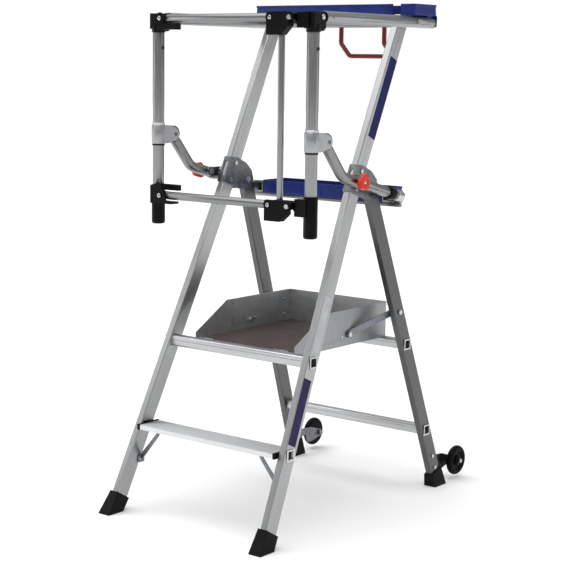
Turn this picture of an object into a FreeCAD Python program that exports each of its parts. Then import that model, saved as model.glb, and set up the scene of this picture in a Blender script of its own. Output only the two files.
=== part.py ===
import FreeCAD, Part
import math
import os

# Folding platform ladder with a lift-up gate and guard rails. Millimetres, +Z up, +Y from the
# climbing side to the rear, X across. The origin is on the floor, at the middle of the footprint.

V = FreeCAD.Vector

# ---- driving dimensions: front and rear frames ----
FRONT_FOOT_Y = -521.0
FRONT_LEAN = math.tan(math.radians(25.1))
REAR_FOOT_Y = 405.0
REAR_LEAN = math.tan(math.radians(19.7))
UPPER_HALF = 249.75
FRONT_TAPER = 0.050
FRONT_BEND_Z = 1005.0
REAR_TAPER = 0.0472
REAR_BEND_Z = 975.0
FRONT_WIDTH = 23.5
REAR_WIDTH = 22.5
STILE_DEPTH = 51.0
STILE_WALL = 1.8
STILE_CORNER = 3.0
STILE_END_Z = 12.0
FRONT_TOP_Z = 1546.0
REAR_TOP_Z = 1036.0

# ---- boots and wheels ----
BOOT_HEIGHT = 52.0
BOOT_WALL = 4.5
SOLE_WIDTH = 45.0
FRONT_SOLE = (-565.0, -501.0)
REAR_SOLE = (366.0, 432.0)
WHEEL_RADIUS = 50.0
WHEEL_WIDTH = 22.0
WHEEL_X = 304.0
WHEEL_Y = 515.0
WHEEL_Z = 62.0
AXLE_RADIUS = 5.0
WHEEL_PLATE_X = 275.0
HUB_RADIUS = 17.0
RUNNING_GAP = 0.06

# ---- step, rungs and platform ----
STEP_Z = 268.0
STEP_FRONT_Y = -440.0
STEP_REAR_Y = -353.0
STEP_THICK = 15.0
CAP_LENGTH = 9.0
SPIGOT = 15.0
SPIGOT_BORE = 12.5
SPIGOT_LIP = 17.5
RUNG_Z = 516.0
RUNG_HEIGHT = 34.0
RUNG_DEPTH = 34.0
PLATFORM_Z = 526.0
PANEL_THICK = 9.0
PANEL_FRONT_Y = -238.0
BOARD_HALF = 196.5
BOARD_SHEET = 1.5
BOARD_HEIGHT = 105.0
BOARD_REAR_Y = 227.0
BOARD_FRONT_Y = -256.0
BOARD_SLOPE_Y = -106.6
PLATFORM_PIVOT = (-256.0, 529.0)
REAR_RUNGS = (500.0, 200.0)
REAR_RUNG_HEIGHT = 31.0
REAR_RUNG_DEPTH = 32.0
LINK_FRONT = (18.0, 551.0)
LINK_REAR = (187.0, 609.0)
LINK_WIDTH = 22.0
LINK_THICK = 4.0

# ---- frame hinge ----
HINGE_Y = 42.7
HINGE_Z = 1012.0
HINGE_PIN = 6.0
BRACKET_BOLT_Z = (1016.0, 1068.0)
PLATE_THICK = 3.0
PLATE_OUTLINE = [(-42, 1090), (-12, 1086), (34, 1066), (62, 1040), (70, 1012), (60, 988), (30, 980),
                 (-6, 984), (-79, 1010)]

# ---- guard rails, posts and arms ----
GUARD_X = 298.6
TUBE_RADIUS = 18.0
TUBE_WALL = 1.8
RAIL_Z = 1523.0
RAIL_PIVOT_Y = 196.0
RAIL_END_Y = 292.0
POST_Y = -320.4
POST_HINGE_Y = -298.0
HEAD_BOTTOM_Z = 1480.0
SOCKET_TOP_Z = 1011.0
FOOT_Z = 889.0
CLAMP_Z = (1139.0, 1196.0)
ARM_FRONT = (-262.0, 1167.0)
ARM_BEND = (-170.0, 1060.4)
ARM_REAR = (142.0, 984.0)
ARM_RADIUS = 16.5
KNOB = (-98.0, 1042.0)

# ---- gate ----
GATE_Y = -341.0
GATE_PIVOT_X = -259.2
GATE_RIVET_X = 169.5
GATE_PIN_X = 241.0
GATE_TOP_Z = 1521.5
GATE_BOTTOM_Z = 981.5
GATE_RADIUS = 12.5
UPRIGHT_X = 201.0
UPRIGHT_RADIUS = 9.5

# ---- trays and handle ----
TRAY_WALL = 3.0
TOP_TRAY_HALF = 317.0
TOP_TRAY_Y = (170.0, 302.0)
TOP_TRAY_Z = (1543.0, 1578.0)
LOW_TRAY_HALF = 241.0
LOW_TRAY_Y = (122.0, 250.0)
LOW_TRAY_Z = (963.0, 1006.0)
HANDLE_X = 20.0
HANDLE_HALF = 86.0
HANDLE_Y = 312.0
HANDLE_RADIUS = 7.5


def write(name, *solids):
    shape = solids[0] if len(solids) == 1 else Part.makeCompound(list(solids))
    shape.exportStep("parts/" + name + ".step")


def box(x, y, z):
    return Part.makeBox(x[1] - x[0], y[1] - y[0], z[1] - z[0], V(x[0], y[0], z[0]))


def rod(start, end, radius):
    start, end = V(*start), V(*end)
    return Part.makeCylinder(radius, (end - start).Length, start, end - start)


def rod_x(y, z, x0, x1, radius):
    return Part.makeCylinder(radius, x1 - x0, V(x0, y, z), V(1, 0, 0))


def rod_y(x, z, y0, y1, radius):
    return Part.makeCylinder(radius, y1 - y0, V(x, y0, z), V(0, 1, 0))


def rod_z(x, y, z0, z1, radius):
    return Part.makeCylinder(radius, z1 - z0, V(x, y, z0), V(0, 0, 1))


def face_of(points):
    return Part.Face(Part.makePolygon(points + points[:1]))


def plate_x(outline, x0, x1):
    return face_of([V(x0, y, z) for y, z in outline]).extrude(V(x1 - x0, 0, 0))


def plate_y(outline, y0, y1):
    return face_of([V(x, y0, z) for x, z in outline]).extrude(V(0, y1 - y0, 0))


def mirror(shape):
    return shape.mirror(V(0, 0, 0), V(1, 0, 0))


def pair(shape):
    return [shape, mirror(shape)]


def slot_x(start, end, radius, x0, x1):
    """A round-ended bar between two (y, z) points, from x0 to x1."""
    dy, dz = end[0] - start[0], end[1] - start[1]
    length = math.hypot(dy, dz)
    ny, nz = -dz / length * radius, dy / length * radius
    outline = [(start[0] + ny, start[1] + nz), (start[0] - ny, start[1] - nz),
               (end[0] - ny, end[1] - nz), (end[0] + ny, end[1] + nz)]
    bar = plate_x(outline, x0, x1)
    return bar.fuse([rod_x(*start, x0, x1, radius), rod_x(*end, x0, x1, radius)]).removeSplitter()


def front_y(z):
    return FRONT_FOOT_Y + FRONT_LEAN * z


def front_x(z):
    return UPPER_HALF + FRONT_TAPER * max(FRONT_BEND_Z - z, 0.0)


def rear_y(z):
    return REAR_FOOT_Y - REAR_LEAN * z


def rear_x(z):
    return UPPER_HALF + REAR_TAPER * max(REAR_BEND_Z - z, 0.0)


FRONT_SPAN = STILE_DEPTH * math.hypot(1.0, FRONT_LEAN)
REAR_SPAN = STILE_DEPTH * math.hypot(1.0, REAR_LEAN)


def section(x, y, z, width, span, corner):
    """Horizontal face of a stile: a rectangle with rounded corners."""
    rectangle = Part.makeBox(width, span, 1.0, V(x - width / 2, y - span / 2, z))
    upright = [e for e in rectangle.Edges if abs(e.Vertexes[0].Z - e.Vertexes[1].Z) > 0.5]
    rounded = rectangle.makeFillet(corner, upright)
    return [f for f in rounded.Faces if f.CenterOfMass.z < z + 0.01][0]


def solid_stile(x_of, y_of, low, high, width, span, corner):
    """A stile's outside between two heights, on the right-hand side."""
    rise = V(x_of(high) - x_of(low), y_of(high) - y_of(low), high - low)
    return section(x_of(low), y_of(low), low, width, span, corner).extrude(rise)


def stile(x_of, y_of, low, high, width, span):
    outer = solid_stile(x_of, y_of, low, high, width, span, STILE_CORNER)
    width -= 2 * STILE_WALL
    span -= 2.2 * STILE_WALL
    return outer.cut(solid_stile(x_of, y_of, low, high, width, span, STILE_CORNER - 1.2))


def make_stiles():
    lower = stile(front_x, front_y, STILE_END_Z, FRONT_BEND_Z, FRONT_WIDTH, FRONT_SPAN)
    upper = stile(front_x, front_y, FRONT_BEND_Z, FRONT_TOP_Z, FRONT_WIDTH, FRONT_SPAN)
    for z in (RUNG_Z, STEP_Z - STEP_THICK / 2):
        lower = lower.cut(rung_end_hole(front_x(z), front_y(z), z))
    for z in BRACKET_BOLT_Z:
        upper = upper.cut(rod_x(front_y(z), z, 200, 300, 4.0))
    upper = upper.cut(rod_x(RAIL_PIVOT_Y, RAIL_Z, 200, 300, 6.0))
    rear_low = stile(rear_x, rear_y, STILE_END_Z, REAR_BEND_Z, REAR_WIDTH, REAR_SPAN)
    rear_high = stile(rear_x, rear_y, REAR_BEND_Z, REAR_TOP_Z, REAR_WIDTH, REAR_SPAN)
    rear = rear_low.fuse(rear_high)
    for z in REAR_RUNGS:
        rear = rear.cut(rung_end_hole(rear_x(z), rear_y(z), z))
    rear = rear.cut(rod_x(HINGE_Y, HINGE_Z, 200, 300, HINGE_PIN + RUNNING_GAP))
    write("front_stiles", *pair(lower))
    write("upper_stiles", *pair(upper))
    write("rear_stiles", *pair(rear))


def rung_end_hole(x, y, z):
    half = SPIGOT + 0.2
    return box((x - 20, x + 20), (y - half, y + half), (z - half, z + half))


def boot(x_of, y_of, span, width, sole):
    """A rubber boot: a flared block around the stile's end, cut square to the stile at its top."""
    half = SOLE_WIDTH / 2
    outside = x_of(0) + 1.5
    left, right = outside - half, outside + half
    bottom = [V(left, sole[0], 0), V(right, sole[0], 0), V(right, sole[1], 0), V(left, sole[1], 0)]
    slope = (y_of(100) - y_of(0)) / 100
    top = []
    for a, b in ((-1, -1), (1, -1), (1, 1), (-1, 1)):
        reach = b * (span / 2 + BOOT_WALL)
        z = BOOT_HEIGHT - slope * reach
        x = x_of(z) + a * (width / 2 + BOOT_WALL)
        top.append(V(x, y_of(BOOT_HEIGHT) + reach + slope * (z - BOOT_HEIGHT), z))
    wires = [Part.makePolygon(p + p[:1]) for p in (bottom, top)]
    block = Part.makeLoft(wires, True, True)
    return block.cut(solid_stile(x_of, y_of, STILE_END_Z, 120.0, width, span, STILE_CORNER))


def make_boots():
    front = boot(front_x, front_y, FRONT_SPAN, FRONT_WIDTH, FRONT_SOLE)
    rear = boot(rear_x, rear_y, REAR_SPAN, REAR_WIDTH, REAR_SOLE)
    write("front_boots", *pair(front))
    write("rear_boots", *pair(rear))
    plug = solid_stile(rear_x, rear_y, REAR_TOP_Z, REAR_TOP_Z + 8, REAR_WIDTH, REAR_SPAN, STILE_CORNER)
    write("rear_stile_plugs", *pair(plug))
    cap = solid_stile(front_x, front_y, FRONT_TOP_Z, FRONT_TOP_Z + 8, FRONT_WIDTH, FRONT_SPAN, STILE_CORNER)
    write("upper_stile_caps", *pair(cap))


def make_step():
    end = front_x(STEP_Z) - FRONT_WIDTH / 2 - 0.2
    low = STEP_Z - STEP_THICK
    deck = box((CAP_LENGTH - end, end - CAP_LENGTH), (STEP_FRONT_Y, STEP_REAR_Y), (low, STEP_Z))
    for i in range(3):
        y = STEP_FRONT_Y + 3 + i * 28.0
        deck = deck.cut(box((-end, end), (y, y + 25), (low + 2.5, STEP_Z - 3)))
    for i in range(12):
        y = STEP_FRONT_Y + 6 + i * 7.0
        deck = deck.cut(box((-end, end), (y, y + 2.5), (STEP_Z - 1.2, STEP_Z + 1)))
    write("step_tread", deck)
    cap = box((end - CAP_LENGTH, end), (STEP_FRONT_Y - 2, STEP_REAR_Y + 2), (low - 1, STEP_Z + 2))
    cap = cap.makeFillet(2.0, [e for e in cap.Edges if e.Length > 60])
    write("step_end_caps", *pair(cap))
    foot_y, foot_z = -421.0, 155.0
    face = front_x(foot_z) - FRONT_WIDTH / 2
    back = face - 4.5
    strap = [(196, low), (212, low), (back, foot_z + 14), (back, foot_z - 4)]
    brace = plate_y(strap, foot_y, foot_y + 4)
    lug = box((back, face - 0.6), (foot_y - 13, foot_y + 14), (foot_z - 12, foot_z + 12))
    braces = pair(brace.fuse(lug).removeSplitter())
    write("step_fittings", *braces, *step_spigots())


def step_spigots():
    """Flared square spigots that hold the step in the stiles."""
    z = STEP_Z - STEP_THICK / 2
    y = front_y(z)
    face = front_x(z) + FRONT_WIDTH / 2
    spigot = square(face - FRONT_WIDTH - 0.2, face + 3, y, z, SPIGOT)
    lip = square(face + 0.95, face + 3, y, z, SPIGOT_LIP)
    return pair(spigot.fuse(lip).removeSplitter().cut(square(200, 400, y, z, SPIGOT_BORE)))


def square(x0, x1, y, z, half):
    return box((x0, x1), (y - half, y + half), (z - half, z + half))


def rung_profile(y, z, height, depth, groove):
    half = depth / 2
    low = z - height / 2
    profile = box((-10, 10), (y - half, y + half), (low, low + height))
    profile = profile.makeFillet(6.0, [e for e in profile.Edges if abs(e.Length - 20) < 0.01])
    return profile.cut(box((-11, 11), (y - half - 1, y - half + 2.5), (groove - 1.2, groove + 1.2)))


def make_rung(name, x, y, z, height, depth, width):
    """A rung between two stiles; its square spigots are flared over the outer faces."""
    inner = x - width / 2 - 0.05 * height / 2
    side = [f for f in rung_profile(y, z, height, depth, z + 4).Faces if f.CenterOfMass.x < -9.99][0]
    side = side.translated(V(10 - inner, 0, 0))
    bar = side.extrude(V(2 * inner, 0, 0))
    for sign in (-1, 1):
        outer = x + width / 2 + 3.0
        reach = (inner - 1, outer) if sign > 0 else (-outer, 1 - inner)
        bar = bar.fuse(square(*reach, y, z, SPIGOT))
        lip = (x + width / 2 + 0.95, outer) if sign > 0 else (-outer, -x - width / 2 - 0.95)
        bar = bar.fuse(square(*lip, y, z, SPIGOT_LIP))
        bore = (outer - 30, outer + 1) if sign > 0 else (-outer - 1, 30 - outer)
        bar = bar.cut(square(*bore, y, z, SPIGOT_BORE))
    write(name, bar.removeSplitter())


def make_rungs():
    x, y = front_x(RUNG_Z), front_y(RUNG_Z)
    make_rung("platform_rung", x, y, RUNG_Z, RUNG_HEIGHT, RUNG_DEPTH, FRONT_WIDTH)
    for name, z in zip(("rear_rung_upper", "rear_rung_lower"), REAR_RUNGS):
        make_rung(name, rear_x(z), rear_y(z), z, REAR_RUNG_HEIGHT, REAR_RUNG_DEPTH, REAR_WIDTH)


def toe_outline():
    low, high = PLATFORM_Z - PANEL_THICK, PLATFORM_Z + BOARD_HEIGHT
    return [(BOARD_FRONT_Y, low), (BOARD_REAR_Y, low), (BOARD_REAR_Y, high), (BOARD_SLOPE_Y, high),
            (BOARD_FRONT_Y, PLATFORM_Z + 20)]


def make_platform():
    low, high = PLATFORM_Z - PANEL_THICK, PLATFORM_Z + BOARD_HEIGHT
    inner, outer = BOARD_HALF, BOARD_HALF + BOARD_SHEET
    panel = box((-inner, inner), (PANEL_FRONT_Y, BOARD_REAR_Y), (low, PLATFORM_Z))
    write("platform_panel", panel)
    side = plate_x(toe_outline(), inner, outer)
    hem = box((outer, outer + 3.5), (BOARD_SLOPE_Y, BOARD_REAR_Y - 4), (high - 13, high))
    flange = box((inner - 26, outer), (PANEL_FRONT_Y, BOARD_REAR_Y), (low - BOARD_SHEET, low))
    side = side.fuse([hem, flange]).removeSplitter()
    side = side.cut(rod_x(*LINK_FRONT, inner - 2, outer + 2, 4.0))
    write("toe_board_right", side)
    write("toe_board_left", mirror(side))
    back = BOARD_REAR_Y + BOARD_SHEET
    rear = box((-outer, outer), (BOARD_REAR_Y, back), (low - BOARD_SHEET, high))
    rear = rear.fuse(box((-outer, outer), (back, BOARD_REAR_Y + 5), (high - 13, high)))
    write("toe_board_rear", rear.removeSplitter())
    bolt = rod_x(*LINK_FRONT, inner - 4, outer + 6.5, 4.0)
    bolt = bolt.fuse(rod_x(*LINK_FRONT, outer + 6.5, outer + 11, 8.0))
    bolt = bolt.fuse(rod_x(*LINK_FRONT, inner - 6, inner - 0.2, 7.5)).removeSplitter()
    fasteners = pair(bolt)
    for x in (-inner + 7, inner - 7):
        for at in (-225.0, 200.0):
            fasteners.append(rod_z(x, at, PLATFORM_Z, PLATFORM_Z + 3.5, 5.0))
    write("platform_fasteners", *fasteners)
    make_platform_hinges(low)


def make_platform_hinges(low):
    """Two hinges between the platform's front edge and the rung; low is the panel's underside."""
    y, z = PLATFORM_PIVOT
    knuckles = []
    for x in (-150.0, 150.0):
        eye = rod_x(y, z, x - 15, x + 15, 5.8)
        leaf = box((x - 15, x + 15), (y, PANEL_FRONT_Y + 60), (low - 3.5, low))
        riser = box((x - 15, x + 15), (y, PANEL_FRONT_Y - 1), (low - 3.5, z))
        knuckle = eye.fuse([leaf, riser]).removeSplitter()
        knuckles.append(knuckle.cut(rod_x(y, z, x - 20, x + 20, 4.0 + RUNNING_GAP)))
    write("platform_hinge_leaves", *knuckles)
    lugs = []
    for x in (-150.0, 150.0):
        for side in (-1, 1):
            start = x + side * 21.0
            eye = rod_x(y, z, start - 5, start + 5, 6.0)
            foot = box((start - 5, start + 5), (front_y(RUNG_Z) + RUNG_DEPTH / 2, y), (z - 14, z + 3))
            lugs.append(eye.fuse(foot).removeSplitter().cut(rod_x(y, z, start - 9, start + 9, 4.0)))
    pins = [rod_x(y, z, x - 29, x + 29, 4.0) for x in (-150.0, 150.0)]
    write("rung_hinges", *lugs, *pins)


def make_links():
    low_x, high_x = BOARD_HALF + BOARD_SHEET + 1.2, 248.5
    half = LINK_WIDTH / 2
    start = (LINK_FRONT[0] + 14, LINK_FRONT[1] + 4.8)
    end = (LINK_REAR[0] - 14, LINK_REAR[1] - 4.8)
    front = slot_x(LINK_FRONT, start, half, low_x, low_x + LINK_THICK)
    rear = slot_x(end, LINK_REAR, half, high_x, high_x + LINK_THICK)
    length = math.hypot(end[0] - start[0], end[1] - start[1])
    ny, nz = -(end[1] - start[1]) / length * half, (end[0] - start[0]) / length * half
    corners = []
    for (y, z), x in ((start, low_x), (end, high_x)):
        corners.append([V(x, y + ny, z + nz), V(x + LINK_THICK, y + ny, z + nz),
                        V(x + LINK_THICK, y - ny, z - nz), V(x, y - ny, z - nz)])
    middle = Part.makeLoft([Part.makePolygon(c + c[:1]) for c in corners], True, True)
    bar = middle.fuse([front, rear]).removeSplitter()
    bar = bar.cut(rod_x(*LINK_FRONT, low_x - 1, low_x + 6, 4.0 + RUNNING_GAP))
    rivet = rod_x(*LINK_REAR, high_x - 4, high_x, 8.0)
    write("link_bar_right", bar, rivet)
    write("link_bar_left", mirror(bar), mirror(rivet))


def make_hinge():
    outer = UPPER_HALF + FRONT_WIDTH / 2
    inner = UPPER_HALF - FRONT_WIDTH / 2
    plates = plate_x(PLATE_OUTLINE, inner - PLATE_THICK, inner)
    plates = plates.fuse(plate_x(PLATE_OUTLINE, outer, outer + PLATE_THICK))
    low, high = 1010.0, 1090.0
    front = [front_y(low) - FRONT_SPAN / 2, front_y(high) - FRONT_SPAN / 2]
    flange = plate_x([(front[0] - 3.3, low), (front[0], low), (front[1], high), (front[1] - 3.3, high)],
                     inner - PLATE_THICK, outer + PLATE_THICK)
    window = box((UPPER_HALF - 7, UPPER_HALF + 7), (-120, 0), (1030, 1076))
    bracket = plates.fuse(flange.cut(window)).removeSplitter()
    splayed = solid_stile(front_x, front_y, 900.0, FRONT_BEND_Z, FRONT_WIDTH, FRONT_SPAN, STILE_CORNER)
    bracket = bracket.cut(splayed)
    bracket = bracket.cut(rod_x(HINGE_Y, HINGE_Z, 200, 300, HINGE_PIN))
    for z in BRACKET_BOLT_Z:
        bracket = bracket.cut(rod_x(front_y(z), z, 200, 300, 4.0))
    write("hinge_brackets", *pair(bracket))
    reach = (inner - PLATE_THICK - 0.1, outer + PLATE_THICK + 0.1)
    pin = rod_x(HINGE_Y, HINGE_Z, *reach, HINGE_PIN)
    for x0 in (reach[0] - 3, reach[1]):
        pin = pin.fuse(rod_x(HINGE_Y, HINGE_Z, x0, x0 + 3, 9.5))
    bolts = pair(pin.removeSplitter())
    for z in BRACKET_BOLT_Z:
        bolt = rod_x(front_y(z), z, *reach, 4.0)
        for x0 in (reach[0] - 3, reach[1]):
            bolt = bolt.fuse(rod_x(front_y(z), z, x0, x0 + 3, 7.0))
        bolts += pair(bolt.removeSplitter())
    write("hinge_bolts", *bolts)


def make_wheels():
    y, z = WHEEL_Y, WHEEL_Z
    inner, outer = WHEEL_X - WHEEL_WIDTH / 2, WHEEL_X + WHEEL_WIDTH / 2
    tyre = rod_x(y, z, inner, outer, WHEEL_RADIUS)
    tyre = tyre.makeFillet(6.0, [e for e in tyre.Edges if e.Length > 250])
    dish = rod_x(y, z, outer - 5, outer + 1, 30.0).cut(rod_x(y, z, outer - 5, outer + 1, HUB_RADIUS))
    tyre = tyre.cut(dish).cut(rod_x(y, z, inner - 1, outer + 1, HUB_RADIUS))
    hub = rod_x(y, z, inner - 1.5, outer + 1.5, HUB_RADIUS)
    hub = hub.cut(rod_x(y, z, inner - 3, outer + 3, AXLE_RADIUS + RUNNING_GAP))
    plate_in = WHEEL_PLATE_X
    outline = [(352, 114), (412, 94), (468, 90), (y - 3, z + 14), (y + 9, z + 11), (y + 15, z),
               (y + 9, z - 11), (y - 3, z - 14), (468, 38), (440, 38), (432, 68), (418, 68),
               (396, 60), (368, 56)]
    plate = plate_x(outline, plate_in, plate_in + 3.5)
    plate = plate.cut(rod_x(y, z, plate_in - 1, plate_in + 6, AXLE_RADIUS))
    axle = rod_x(y, z, plate_in - 8, outer + 2.2, AXLE_RADIUS)
    for x0, x1, radius in ((outer + 2.2, outer + 9, 8.0), (plate_in - 8, plate_in, 9.0),
                           (plate_in + 3.5, inner - 2, 9.0)):
        axle = axle.fuse(rod_x(y, z, x0, x1, radius)).removeSplitter()
    for name, right in (("wheel_tyre", tyre), ("wheel_hub", hub)):
        write(name + "_right", right)
        write(name + "_left", mirror(right))
    write("wheel_mounts", *pair(plate), *pair(axle))
    rivets = []
    for at in (105.0, 64.0):
        face = rear_x(at) + REAR_WIDTH / 2
        rivets += pair(rod_x(rear_y(at), at, face + 0.4, face + 3.5, 6.0))
        rivets += pair(rod_x(rear_y(at), at, plate_in + 3.5, face - REAR_WIDTH - 0.4, 7.5))
    at = LINK_REAR[1]
    face = rear_x(at) + REAR_WIDTH / 2 + 0.4
    rivets += pair(rod_x(*LINK_REAR, face, face + 4.5, 8.0))
    write("rear_frame_rivets", *rivets)


def bent_tube(points, radius, wall, bend):
    """A round tube through (x, y, z) points, solid if its wall is its radius, with rounded corners."""
    spots = [V(*p) for p in points]
    edges = []
    last = spots[0]
    for before, at, after in zip(spots, spots[1:], spots[2:]):
        into, out = (at - before).normalize(), (after - at).normalize()
        cut = bend * math.tan(into.getAngle(out) / 2)
        start, end = at - into * cut, at + out * cut
        middle_way = (out - into).normalize()
        middle = at + middle_way * (math.hypot(bend, cut) - bend)
        edges.append(Part.LineSegment(last, start).toShape())
        edges.append(Part.Arc(start, middle, end).toShape())
        last = end
    edges.append(Part.LineSegment(last, spots[-1]).toShape())
    path = Part.Wire(edges)
    way = (spots[1] - spots[0]).normalize()
    rims = [Part.Wire(Part.Circle(spots[0], way, r).toShape()) for r in (radius, max(radius - wall, 1.0))]
    outside = path.makePipeShell([rims[0]], True, False)
    if wall == radius:
        return outside
    return outside.cut(path.makePipeShell([rims[1]], True, False))


def arm_outside(points):
    """The whole outside of a guard arm."""
    return bent_tube(points, ARM_RADIUS, ARM_RADIUS, 60.0)


def make_arms():
    points = [(GUARD_X, *p) for p in (ARM_FRONT, ARM_BEND, ARM_REAR)]
    arm = bent_tube(points, ARM_RADIUS, 2.0, 60.0)
    arm = arm.cut(rod_x(*KNOB, GUARD_X - 30, GUARD_X + 30, 5.0))
    write("guard_arms", *pair(arm))
    way = (V(GUARD_X, *ARM_REAR) - V(GUARD_X, *ARM_BEND)).normalize()
    end = V(GUARD_X, *ARM_REAR)
    insert = rod_x(*ARM_FRONT, GUARD_X - 15, GUARD_X + 15, 20.0).cut(arm_outside(points))
    plug = Part.makeCylinder(ARM_RADIUS, 6, end, way)
    tube = Part.makeCylinder(ARM_RADIUS, 60, end - way * 50, way)
    collar = Part.makeCylinder(ARM_RADIUS + 4, 34, end - way * 76, way)
    collar = collar.cut(Part.makeCylinder(ARM_RADIUS, 60, end - way * 90, way))
    write("arm_end_fittings", *pair(insert), *pair(plug), *pair(collar))
    foot = box((LOW_TRAY_HALF, GUARD_X - ARM_RADIUS - 2), (128, 168), (963, 1000))
    foot = foot.cut(box((LOW_TRAY_HALF + 4, 400), (124, 164), (970, 996)))
    lug = box((GUARD_X - ARM_RADIUS - 6, GUARD_X - 6), (146, 168), (963, 1000))
    lug = lug.cut(tube).cut(plug)
    crossbar = rod_x(150, 956, 2 - GUARD_X, GUARD_X - 2, 7.0)
    write("lower_tray_supports", *pair(foot.fuse(lug).removeSplitter()), crossbar)
    strap = Part.makeCylinder(ARM_RADIUS + 2.0, 24, end - way * 225, way)
    strap = strap.cut(Part.makeCylinder(ARM_RADIUS, 60, end - way * 240, way))
    write("arm_straps", *pair(strap))


def make_knobs():
    lug_in, lug_out = GUARD_X - ARM_RADIUS - 7.0, GUARD_X - ARM_RADIUS - 3.0
    outer = UPPER_HALF + FRONT_WIDTH / 2 + PLATE_THICK
    lug = slot_x(KNOB, (-48, KNOB[1]), 14.0, lug_in, lug_out)
    root = slot_x((-48, KNOB[1]), (-30, KNOB[1]), 14.0, outer, lug_out)
    lug = lug.fuse(root).removeSplitter().cut(rod_x(*KNOB, lug_in - 1, lug_out + 1, 5.0 - RUNNING_GAP))
    stud = rod_x(*KNOB, lug_in - 4, GUARD_X + ARM_RADIUS + 16, 5.0 - RUNNING_GAP)
    stud = stud.fuse([rod_x(*KNOB, lug_in - 7, lug_in, 9.0), rod_x(*KNOB, lug_out, lug_out + 2.4, 9.0)])
    write("arm_pivots", *pair(lug), *pair(stud.removeSplitter()))
    start = GUARD_X + ARM_RADIUS + 1.0
    knob = rod_x(*KNOB, start, start + 20, 19.0)
    for i in range(3):
        turn = math.radians(75 + 120 * i)
        y, z = KNOB[0] + 18 * math.cos(turn), KNOB[1] + 18 * math.sin(turn)
        lobe = rod_x(y, z, start + 4, start + 20, 10.0)
        knob = knob.fuse(lobe)
    knob = knob.removeSplitter().cut(rod_x(*KNOB, start - 1, start + 30, 5.0))
    write("knob_right", knob)
    write("knob_left", mirror(knob))


def make_guard():
    rail = rod_y(GUARD_X, RAIL_Z, POST_HINGE_Y + 24, RAIL_END_Y, TUBE_RADIUS)
    rail = rail.cut(rod_y(GUARD_X, RAIL_Z, POST_HINGE_Y, RAIL_END_Y + 1, TUBE_RADIUS - TUBE_WALL))
    rail = rail.cut(rod_x(RAIL_PIVOT_Y, RAIL_Z, 200, 400, 6.0 + RUNNING_GAP))
    write("side_rails", *pair(rail))
    tongue = rod_x(POST_HINGE_Y, RAIL_Z, GUARD_X - 6, GUARD_X + 6, 15.0)
    y = POST_HINGE_Y
    tongue = tongue.fuse(box((GUARD_X - 6, GUARD_X + 6), (y, y + 26), (RAIL_Z - 12, RAIL_Z + 12)))
    tongue = tongue.fuse(rod_y(GUARD_X, RAIL_Z, y + 22, y + 42, TUBE_RADIUS - TUBE_WALL))
    tongue = tongue.removeSplitter().cut(rod_x(POST_HINGE_Y, RAIL_Z, 200, 400, 5.0 + RUNNING_GAP))
    cap = rod_y(GUARD_X, RAIL_Z, RAIL_END_Y, RAIL_END_Y + 5, TUBE_RADIUS)
    write("rail_end_fittings", *pair(tongue), *pair(cap))
    inner = UPPER_HALF + FRONT_WIDTH / 2
    spacer = rod_x(RAIL_PIVOT_Y, RAIL_Z, inner, GUARD_X - TUBE_RADIUS - 0.6, 11.0)
    start, end = inner - FRONT_WIDTH, GUARD_X + TUBE_RADIUS
    pivot = rod_x(RAIL_PIVOT_Y, RAIL_Z, start - 3, end + 1, 6.0)
    pivot = pivot.fuse([spacer, rod_x(RAIL_PIVOT_Y, RAIL_Z, start - 5, start, 9.0)])
    pivot = pivot.fuse(rod_x(RAIL_PIVOT_Y, RAIL_Z, end + 0.6, end + 3, 8.0))
    write("rail_pivot_bolts", *pair(pivot.removeSplitter()))
    reach = GUARD_X - TUBE_RADIUS + 1
    bar = rod_x(RAIL_END_Y - 24, RAIL_Z, -reach, reach, 14.0)
    bar = bar.cut(rod_x(RAIL_END_Y - 24, RAIL_Z, -400, 400, 12.4))
    for side in (-1, 1):
        bar = bar.cut(rod_y(side * GUARD_X, RAIL_Z, 200, 320, TUBE_RADIUS))
    write("rear_crossbar", bar)


def tray(half, ys, zs):
    shell = box((-half, half), ys, zs)
    shell = shell.makeFillet(6.0, [e for e in shell.Edges if abs(e.Vertexes[0].Z - e.Vertexes[1].Z) > 5])
    inside = half - TRAY_WALL
    hollow = box((-inside, inside), (ys[0] + TRAY_WALL, ys[1] - TRAY_WALL), (zs[0] + TRAY_WALL, zs[1] + 1))
    return shell.cut(hollow)


def make_trays():
    top = tray(TOP_TRAY_HALF, TOP_TRAY_Y, TOP_TRAY_Z)
    for side, half, front in ((-1, 19, TOP_TRAY_Y[0] + TRAY_WALL), (1, 15, 160)):
        slot = sorted((side * UPPER_HALF - half, side * UPPER_HALF + half))
        top = top.cut(box(slot, (front, 250), (TOP_TRAY_Z[0] - 5, TOP_TRAY_Z[1] + 1)))
    back = (TOP_TRAY_Y[1] - TRAY_WALL, TOP_TRAY_Y[1])
    skirt = box((-TOP_TRAY_HALF, TOP_TRAY_HALF), back, (1509, TOP_TRAY_Z[0] + TRAY_WALL))
    saddle = box((GUARD_X - 8, GUARD_X + 8), (255, 285), (RAIL_Z + 13, TOP_TRAY_Z[0]))
    saddle = saddle.cut(rod_y(GUARD_X, RAIL_Z, 200, 320, TUBE_RADIUS))
    write("top_tray", top.fuse([skirt] + pair(saddle)).removeSplitter())
    write("lower_tray", tray(LOW_TRAY_HALF, LOW_TRAY_Y, LOW_TRAY_Z))


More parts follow.
